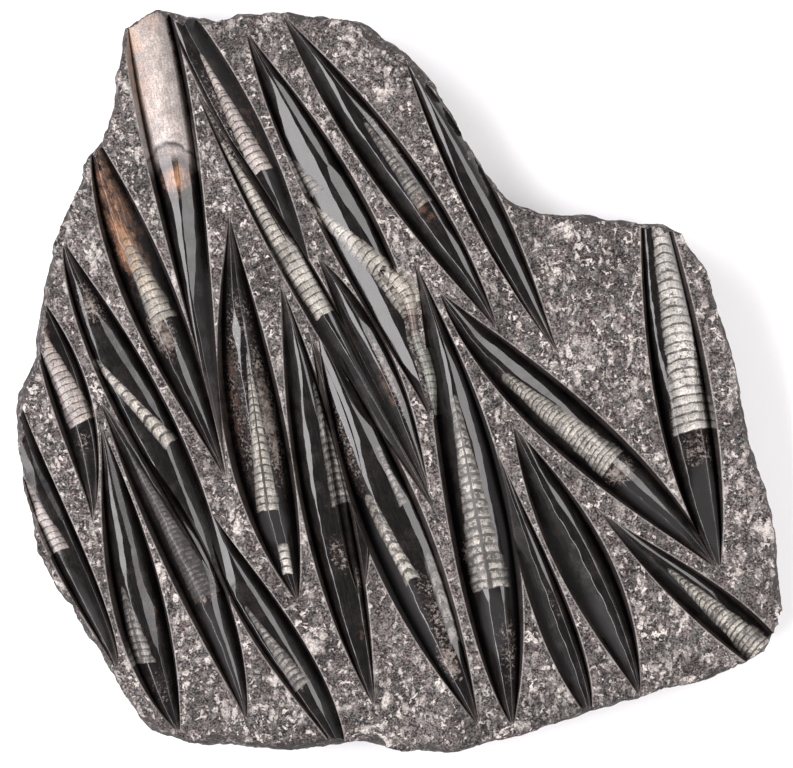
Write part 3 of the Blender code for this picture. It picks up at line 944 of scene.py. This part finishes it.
class Nodes:
    """Short calls that add the nodes of one material."""

    def __init__(self, name):
        self.material = bpy.data.materials.new(name)
        self.material.use_nodes = True
        self.tree = self.material.node_tree
        self.tree.nodes.clear()
        self.surface = self.add("ShaderNodeBsdfPrincipled")
        output = self.add("ShaderNodeOutputMaterial")
        self.tree.links.new(self.surface.outputs[0], output.inputs[0])
        place = self.add("ShaderNodeTexCoord").outputs["Object"]
        self.place = self.vector("MULTIPLY", place, (1000, 1000, 1000))

    def add(self, kind, **settings):
        node = self.tree.nodes.new(kind)
        for name, value in settings.items():
            setattr(node, name, value)
        return node

    def feed(self, socket, value):
        if isinstance(value, bpy.types.NodeSocket):
            self.tree.links.new(value, socket)
        else:
            socket.default_value = value

    def set(self, **values):
        """Feeds the surface's sockets, by their names with _ for a space."""
        for name, value in values.items():
            self.feed(self.surface.inputs[name.replace("_", " ")], value)

    def worked(self, kind, values, **settings):
        """The node of that kind, fed with the values in order."""
        node = self.add(kind, **settings)
        for socket, value in zip(node.inputs, values):
            self.feed(socket, value)
        return node

    def maths(self, operation, *values):
        return self.worked("ShaderNodeMath", values, operation=operation).outputs[0]

    def times(self, value, factor):
        return self.maths("MULTIPLY", value, factor)

    def times_plus(self, value, factor, more):
        return self.maths("MULTIPLY_ADD", value, factor, more)

    def plus(self, value, more):
        return self.maths("ADD", value, more)

    def less(self, value, amount):
        return self.maths("SUBTRACT", value, amount)

    def most(self, value, other):
        return self.maths("MAXIMUM", value, other)

    def size(self, value):
        return self.maths("ABSOLUTE", value)

    def vector(self, operation, *values):
        return self.worked("ShaderNodeVectorMath", values, operation=operation).outputs[0]

    def parts(self, vector):
        return self.worked("ShaderNodeSeparateXYZ", (vector,)).outputs[:3]

    def joined(self, x, y, z):
        return self.worked("ShaderNodeCombineXYZ", (x, y, z)).outputs[0]

    def toned(self, colour, tone):
        return self.vector("MULTIPLY", colour, self.joined(tone, tone, tone))

    def told(self, name):
        """What the corners were told under that name."""
        return self.add("ShaderNodeAttribute", attribute_name=name).outputs["Vector"]

    def step(self, value, low, high, start=0.0, end=1.0):
        """A smooth step from start at low to end at high."""
        kind, given = "ShaderNodeMapRange", (value, low, high, start, end)
        return self.worked(kind, given, interpolation_type="SMOOTHSTEP").outputs[0]

    def mix(self, share, first, second, blend="MIX"):
        node = self.add("ShaderNodeMix", data_type="RGBA", blend_type=blend)
        for index, value in ((0, share), (6, first), (7, second)):
            if isinstance(value, tuple) and len(value) == 3:
                value = (*value, 1.0)
            self.feed(node.inputs[index], value)
        return node.outputs[2]

    def placed(self, kind, place, **values):
        """The texture node of that kind at a place, which is the object's own unless given."""
        node = self.add(kind)
        for name, value in dict(Vector=place or self.place, **values).items():
            self.feed(node.inputs[name], value)
        return node

    def noise(self, scale, detail=2.0, roughness=0.5, place=None, output="Fac"):
        shape = dict(Scale=scale, Detail=detail, Roughness=roughness)
        return self.placed("ShaderNodeTexNoise", place, **shape).outputs[output]

    def warped(self, scale, amount, place=None):
        """The place moved about by a noise, by up to half the amount."""
        drift = self.vector("SUBTRACT", self.noise(scale, place=place, output="Color"), (0.5,) * 3)
        return self.vector("MULTIPLY_ADD", drift, (amount,) * 3, place or self.place)

    def cells(self, place, scale):
        """Distance to the nearest cell point, and that cell's random colour."""
        node = self.placed("ShaderNodeTexVoronoi", place, Scale=scale)
        return node.outputs["Distance"], node.outputs["Color"]

    def turned(self, place, angle, squeeze):
        """The place turned about the vertical and squeezed across, for long flecks."""
        turn = (0, 0, math.radians(angle))
        return self.placed("ShaderNodeMapping", place, Rotation=turn, Scale=squeeze).outputs[0]

    def bump(self, height, depth):
        node = self.add("ShaderNodeBump")
        for name, value in dict(Strength=1.0, Distance=depth, Height=height).items():
            self.feed(node.inputs[name], value)
        self.set(Normal=node.outputs[0])


STONE_DARK = (0.005, 0.0042, 0.0041)
STONE_MID = (0.150, 0.132, 0.125)
STONE_PALE = (0.62, 0.565, 0.52)
STONE_TINTS = ((0.88, 0.97, 0.97), (1.08, 0.98, 0.985))

# Layers of pale flecks: turn in degrees, squeeze, cells per mm, and the least chance that shows
FLECK_LAYERS = (
    (25, (1.0, 0.40, 1.0), 0.26, 0.60),
    (-40, (1.0, 0.42, 1.0), 0.34, 0.62),
    (85, (1.0, 0.48, 1.0), 0.46, 0.56),
    (0, (1.0, 0.8, 1.0), 0.75, 0.60),
)
# Layers of winding lines: noise scale per mm, half width, and the noise scale of its gaps
LINE_LAYERS = (
    (0.14, 0.060, 0.20),
    (0.26, 0.080, 0.30),
)


def stone_pattern(nodes):
    """The limestone between the fossils: dark, packed with pale bits of shell."""
    bent = nodes.warped(0.7, 2.0, nodes.warped(0.10, 7.0))
    grain = nodes.noise(1.3, 1.5, 0.6)
    broad = nodes.noise(0.030, 3.0, 0.6)
    clump = nodes.step(nodes.noise(0.045, 3.0), 0.36, 0.60, 0.15, 1.0)
    pale = 0.0
    for angle, squeeze, scale, least in FLECK_LAYERS:
        distance, colour = nodes.cells(nodes.turned(bent, angle, squeeze), scale)
        size = nodes.step(nodes.parts(colour)[0], least, 1.0, 0.05, 0.60)
        fleck = nodes.step(nodes.less(size, distance), -0.06, 0.26)
        tone = nodes.times_plus(nodes.parts(colour)[1], 0.70, 0.18)
        pale = nodes.most(pale, nodes.times(fleck, tone))
    pale = nodes.times(pale, clump)
    for scale, width, gaps in LINE_LAYERS:
        ridge = nodes.size(nodes.less(nodes.noise(scale, 1.0, place=bent), 0.5))
        thick = nodes.step(nodes.noise(gaps, 2.0), 0.49, 0.70, 0.0, width)
        line = nodes.step(nodes.less(thick, ridge), 0.0, 0.03)
        tone = nodes.step(nodes.noise(0.13, 2.0), 0.35, 0.65, 0.25, 0.95)
        pale = nodes.most(pale, nodes.times(line, tone))
    distance, colour = nodes.cells(nodes.warped(0.5, 1.2), 0.30)
    circle = nodes.size(nodes.less(distance, 0.25))
    seen = nodes.step(nodes.parts(colour)[2], 0.78, 0.82)
    circle = nodes.times(nodes.step(circle, 0.10, 0.03), seen)
    pale = nodes.most(pale, nodes.times(circle, 0.6))
    patch = nodes.step(nodes.noise(0.055, 4.0, 0.65, bent), 0.60, 0.72)
    pale = nodes.most(pale, nodes.times(patch, 0.85))
    base = nodes.mix(nodes.step(grain, 0.36, 0.70), STONE_DARK, STONE_MID)
    tint = nodes.step(nodes.noise(0.16, 3.0, 0.7, nodes.warped(0.3, 3.0)), 0.35, 0.65)
    base = nodes.mix(1.0, base, nodes.mix(tint, *STONE_TINTS), "MULTIPLY")
    murk = nodes.noise(0.22, 4.0, 0.7, nodes.warped(0.3, 3.0))
    base = nodes.mix(nodes.step(murk, 0.46, 0.68, 0.0, 0.30), base, (0.26, 0.235, 0.22))
    shade = nodes.step(broad, 0.34, 0.66, 0.62, 1.20)
    base = nodes.toned(base, shade)
    shown = nodes.times(pale, nodes.step(grain, 0.32, 0.58, 0.35, 1.0))
    return nodes.mix(shown, base, STONE_PALE), pale, grain


def matrix_material():
    nodes = Nodes("ground_limestone")
    colour, pale, grain = stone_pattern(nodes)
    nodes.set(Base_Color=colour, Roughness=nodes.step(grain, 0.3, 0.7, 0.6, 0.8))
    nodes.set(Specular_IOR_Level=0.2)
    nodes.bump(nodes.times_plus(pale, 0.3, grain), 0.14 * MM)
    return nodes.material


def broken_material():
    nodes = Nodes("broken_limestone")
    colour, _, grain = stone_pattern(nodes)
    rough = nodes.noise(0.35, 6.0, 0.7, nodes.warped(0.3, 3.0))
    # Darker where the bump is low: painted shade in the hollows of the broken stone
    hollow_shaded = nodes.mix(nodes.step(rough, 0.40, 0.66, 0.85, 0.15), colour, (0.040, 0.036, 0.034))
    nodes.set(Base_Color=hollow_shaded, Roughness=0.85, Specular_IOR_Level=0.2)
    nodes.bump(nodes.plus(rough, nodes.times(grain, 0.3)), 0.9 * MM)
    return nodes.material


def sawn_material():
    nodes = Nodes("sawn_limestone")
    colour, _, grain = stone_pattern(nodes)
    run = nodes.turned(nodes.warped(0.02, 6.0), 12, (1.0, 0.02, 1.0))
    marks = nodes.noise(0.8, 3.0, 0.6, run)
    worn = nodes.mix(nodes.step(marks, 0.3, 0.7, 0.20, 0.55), colour, (0.14, 0.125, 0.118))
    nodes.set(Base_Color=worn, Roughness=0.8, Specular_IOR_Level=0.2)
    nodes.bump(nodes.times_plus(grain, 0.4, marks), 0.2 * MM)
    return nodes.material


BLACK = (0.0050, 0.0042, 0.0042)
FIBRE = (0.020, 0.0170, 0.0160)
CLOUD = (0.022, 0.0175, 0.0155)
WALL = (0.040, 0.033, 0.030)
HAZE_GREY = (0.026, 0.0245, 0.0250)
RUSTS = ((0.37, 0.19, 0.098), (0.075, 0.045, 0.033))
CRUSHED = ((0.30, 0.26, 0.23), (0.040, 0.027, 0.021))
RING_LINE = (0.020, 0.019, 0.018)
STAIN = (0.90, 0.62, 0.40)


def centred(nodes, value):
    return nodes.less(value, 0.5)


def shell_pattern(nodes, body, fibres):
    """The ringed shell over the body's colour: rings, blotches and a central line."""
    u, v, seed = nodes.parts(nodes.told("shell"))
    rings, arch, core = nodes.parts(nodes.told("form"))
    tint = nodes.told("tint")
    wear, matt, fade = nodes.parts(nodes.told("wear"))
    wander = nodes.noise(0.16, 3.0)
    fine = nodes.noise(1.3, 4.0, 0.65)
    side = nodes.size(v)
    swing = nodes.times(arch, nodes.times(v, v))
    phase = nodes.less(nodes.times(u, rings), swing)
    drift = nodes.times(centred(nodes, nodes.noise(0.22, 1.5)), 0.42)
    drift = nodes.times(drift, nodes.step(rings, 1.0, 8.0, 0.12, 1.0))
    phase = nodes.plus(phase, drift)
    turn = nodes.maths("FRACT", phase)
    ring = nodes.plus(nodes.maths("FLOOR", phase), seed)
    chance = nodes.add("ShaderNodeTexWhiteNoise", noise_dimensions="1D")
    nodes.feed(chance.inputs["W"], ring)
    chance, hue = chance.outputs["Value"], chance.outputs["Color"]
    # Its outline: ragged sides, the first ring at the tip and the last one's curved end
    ragged = nodes.times_plus(centred(nodes, wander), 0.40, side)
    ragged = nodes.times_plus(centred(nodes, fine), 0.45, ragged)
    ragged = nodes.times_plus(centred(nodes, chance), 0.12, ragged)
    inside = nodes.step(ragged, 1.04, 0.92)
    begun = nodes.less(1.0, fade)
    inside = nodes.times(inside, nodes.step(u, -0.02, 0.38, begun, 1.0))
    inside = nodes.times(inside, nodes.step(phase, -0.1, 0.15))
    inside = nodes.times(inside, nodes.step(nodes.less(rings, phase), 0.0, 0.12))
    # Thin dark lines between the rings, wider and here and there double where it is worn
    off = nodes.size(centred(nodes, turn))
    worn = nodes.most(wear, 0.0)
    width = nodes.step(nodes.noise(0.5, 2.0), 0.30, 0.70, 0.01, 0.11)
    width = nodes.times_plus(worn, 0.10, width)
    width = nodes.times(width, nodes.step(wear, -1.0, 0.0))
    full = nodes.less(0.50, width)
    line = nodes.step(off, nodes.less(full, nodes.step(wear, -1.0, 0.0, 0.03, 0.05)), full)
    faint = nodes.step(nodes.noise(0.22, 2.0), 0.30, 0.60, 0.62, 1.0)
    line = nodes.times(line, faint)
    second = nodes.step(nodes.size(nodes.less(turn, 0.30)), 0.10, 0.04)
    second = nodes.times(second, nodes.step(nodes.parts(hue)[1], 0.45, 0.75, 0.0, 0.6))
    line = nodes.most(line, nodes.times(second, worn))
    # Each ring's own tone, with painted shade that lightens it from one line to the next for a
    # look of relief, fine grain, and painted shade towards the sides
    tone = nodes.times_plus(turn, 0.22, nodes.times_plus(chance, 0.30, 0.72))
    tone = nodes.times(tone, nodes.step(fine, 0.28, 0.72, 0.55, 1.38))
    tone = nodes.times(tone, nodes.step(wander, 0.30, 0.65, 0.72, 1.14))
    tone = nodes.times(tone, nodes.step(fibres, 0.36, 0.66, 0.80, 1.14))
    # Painted shade: the shell darker towards its sides, where its rounded form turns from the
    # light
    tone = nodes.times(tone, nodes.step(side, 0.25, 1.05, 1.12, 0.45))
    pale = nodes.toned(tint, tone)
    rust = nodes.times(nodes.parts(nodes.told("patch"))[0], nodes.step(wander, 0.3, 0.6))
    pale = nodes.mix(1.0, pale, nodes.mix(rust, (1.0, 1.0, 1.0), STAIN), "MULTIPLY")
    blotch = nodes.noise(0.40, 4.0, 0.7, nodes.warped(0.6, 2.0))
    blotch = nodes.times_plus(wear, 0.10, blotch)
    blotch = nodes.times(nodes.step(blotch, 0.58, 0.68), 0.80)
    centre = nodes.times_plus(centred(nodes, nodes.noise(0.35, 2.0)), 0.30, v)
    middle = nodes.step(nodes.size(centre), 0.18, 0.09)
    dark = nodes.most(nodes.times(line, 0.90), blotch)
    dark = nodes.most(dark, nodes.times(middle, nodes.times(core, 0.9)))
    ringed = nodes.mix(dark, pale, RING_LINE)
    return nodes.mix(inside, body, ringed), nodes.times(inside, matt)


def patches(nodes, body, fibres):
    """Rust, crushed shell and plain grey over a body's own black."""
    rust, broken, haze = nodes.parts(nodes.told("patch"))
    coarse = nodes.noise(0.20, 5.0, 0.7, nodes.warped(0.4, 2.5))
    speck = nodes.noise(0.75, 3.0, 0.7)
    body = nodes.mix(nodes.times(nodes.step(haze, 0.05, 0.5), 0.9), body, HAZE_GREY)
    shown = nodes.step(nodes.plus(coarse, nodes.times(rust, 0.55)), 0.62, 0.86)
    shown = nodes.times(shown, nodes.step(rust, 0.0, 0.3))
    tone = nodes.times_plus(speck, 0.5, fibres)
    tone = nodes.times_plus(rust, -0.30, tone)
    rusty = nodes.mix(nodes.step(tone, 0.30, 0.64), *RUSTS)
    body = nodes.mix(shown, body, rusty)
    shown = nodes.step(nodes.plus(speck, nodes.times(broken, 0.30)), 0.58, 0.78)
    shown = nodes.times(shown, nodes.step(broken, 0.0, 0.35))
    crushed = nodes.mix(nodes.step(coarse, 0.38, 0.64), *CRUSHED)
    return nodes.mix(nodes.times(shown, 0.85), body, crushed)


def polished_material():
    nodes = Nodes("polished_fossil")
    along, across, lip = nodes.parts(nodes.told("place"))
    fibres = nodes.noise(1.3, 5.0, 0.7, nodes.joined(nodes.times(along, 0.10), across, 0.0))
    cloud = nodes.noise(0.10, 5.0, 0.68, nodes.warped(0.2, 4.0))
    grit = nodes.noise(1.6, 2.0, 0.6)
    body = nodes.mix(nodes.step(fibres, 0.42, 0.74, 0.0, 0.8), BLACK, FIBRE)
    murk = nodes.times(nodes.step(cloud, 0.46, 0.66, 0.0, 0.9), nodes.step(grit, 0.35, 0.62))
    body = nodes.mix(murk, body, CLOUD)
    wall = nodes.times(nodes.step(lip, 3.2, 1.0), nodes.step(cloud, 0.35, 0.55, 0.3, 1.0))
    body = patches(nodes, nodes.mix(wall, body, WALL), fibres)
    colour, dull = shell_pattern(nodes, body, fibres)
    stone, _, grain = stone_pattern(nodes)
    # The lip of every rim in its stone, paler: partly the stone's colour, partly a painted
    # highlight along the worn edge
    rim = nodes.step(nodes.times_plus(centred(nodes, grit), 0.5, lip), 0.85, 0.35)
    edge = nodes.mix(nodes.step(grain, 0.3, 0.7, 0.25, 0.8), stone, (0.24, 0.22, 0.205))
    colour = nodes.mix(rim, colour, edge)
    gloss = nodes.step(cloud, 0.35, 0.65, 0.10, 0.22)
    gloss = nodes.plus(gloss, dull)
    gloss = nodes.most(gloss, nodes.step(lip, 0.8, 0.3, 0.1, 0.55))
    nodes.set(Base_Color=colour, Roughness=gloss)
    nodes.bump(nodes.times_plus(fibres, 0.6, grain), 0.006 * MM)
    return nodes.material


def floor_material():
    nodes = Nodes("pale_floor")
    soft = nodes.noise(0.004, 2.0)
    nodes.set(Base_Color=nodes.mix(soft, (0.90, 0.90, 0.91), (0.93, 0.93, 0.935)), Roughness=0.7)
    return nodes.material


# ---- The model ----


def slab_middle():
    """The middle of the part's bounding box in plan."""
    rings = edge_rings()
    low, high = rings.min(axis=(0, 1)), rings.max(axis=(0, 1))
    return Vector(((low[0] + high[0]) / 2, (low[1] + high[1]) / 2, 0))


def moved(made, shift):
    """The object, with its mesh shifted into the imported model's frame."""
    for vertex in made.data.vertices:
        vertex.co -= shift
    return made


def build_slab(shift):
    stone = slab_blank(bpy.data.materials.new("uncut"))
    cut = bpy.data.materials.new
    cutters = [trench_cutter(trench, cut("cut_" + trench.name)) for trench in TRENCHES]
    carve(stone, cutters + [crossing_seat(cut("cut_seat"))])
    dress(stone)
    return moved(stone, shift)


def build_crossing(shift):
    points, faces, told = crossing_mesh()
    body = mesh_object("crossing_fossil", points, faces, polished_material())
    mesh = body.data
    corner_point = array_of(mesh.loops, "vertex_index", kind=np.int32)
    along, share, run, off = told[corner_point].T
    one = np.ones(len(along))
    facts = {name: np.zeros((len(along), 3)) for name in CORNER_FACTS}
    facts["place"][:] = np.stack([run / MM - BODY_APART, off / MM, DEEP * one], 1)
    ringed = along * CROSSING_SPAN - (CROSSING_SPAN - 1) / 2
    facts["shell"][:] = np.stack([ringed, share * CROSSING_SIDES, CROSSING_SEED * one], 1)
    for name, values in CROSSING_TRAITS.items():
        facts[name][:] = values
    facts["tint"][:] = np.stack(read_knots(CROSSING_TINTS, along), 1)
    keep_facts(mesh, facts)
    mesh.polygons.foreach_set("use_smooth", np.ones(len(mesh.polygons), bool))
    moved(body, shift)
    mesh.update()
    return body


def softbox(name, place, size, radiance, colour):
    """An even rectangular light that faces the slab: size is along the slab and up."""
    lamp = bpy.data.lights.new(name, "AREA")
    lamp.shape = "RECTANGLE"
    lamp.size, lamp.size_y = size
    lamp.energy = radiance * math.pi * size[0] * size[1]
    lamp.color = colour
    light = bpy.data.objects.new(name, lamp)
    light.location = place
    light.rotation_euler = (-Vector(place)).to_track_quat("-Z", "Y").to_euler()
    bpy.context.scene.collection.objects.link(light)


def dim_room():
    """Light from all round, weak from straight above so that the flat tops stay black."""
    world = bpy.data.worlds.new("studio")
    world.use_nodes = True
    tree = world.node_tree
    place = tree.nodes.new("ShaderNodeTexCoord")
    parts = tree.nodes.new("ShaderNodeSeparateXYZ")
    fade = tree.nodes.new("ShaderNodeMapRange")
    fade.interpolation_type = "SMOOTHSTEP"
    for socket, value in zip(fade.inputs[1:], ROOM_FADE + ROOM_LIGHT):
        socket.default_value = value
    back = tree.nodes["Background"]
    back.inputs["Color"].default_value = ROOM_COLOUR
    tree.links.new(place.outputs["Generated"], parts.inputs[0])
    tree.links.new(parts.outputs[2], fade.inputs[0])
    tree.links.new(fade.outputs[0], back.inputs["Strength"])
    bpy.context.scene.world = world


def studio(shift):
    reach = FLOOR_REACH
    corners = [(-reach, -reach, 0), (reach, -reach, 0), (reach, reach, 0), (-reach, reach, 0)]
    mesh_object("pale_floor", corners, [(0, 1, 2, 3)], floor_material())
    for name, facts in SOFTBOXES.items():
        softbox(name, *facts)
    dim_room()
    scene = bpy.context.scene
    scene.view_settings.view_transform = "Standard"
    camera = bpy.data.cameras.new("camera")
    camera.sensor_width = SENSOR
    camera.lens = SENSOR * CAMERA_HEIGHT / VIEW_WIDTH
    eye = bpy.data.objects.new("camera", camera)
    eye.location = (FACE_CENTRE[0] - shift.x, FACE_CENTRE[1] - shift.y, THICKNESS + CAMERA_HEIGHT)
    scene.collection.objects.link(eye)
    scene.camera = eye


def main():
    shift = slab_middle()
    slab = build_slab(shift)
    crossing = build_crossing(shift)
    for piece in (slab, crossing):
        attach(piece, "root")
        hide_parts("fossil_slab")
    studio(shift)


main()
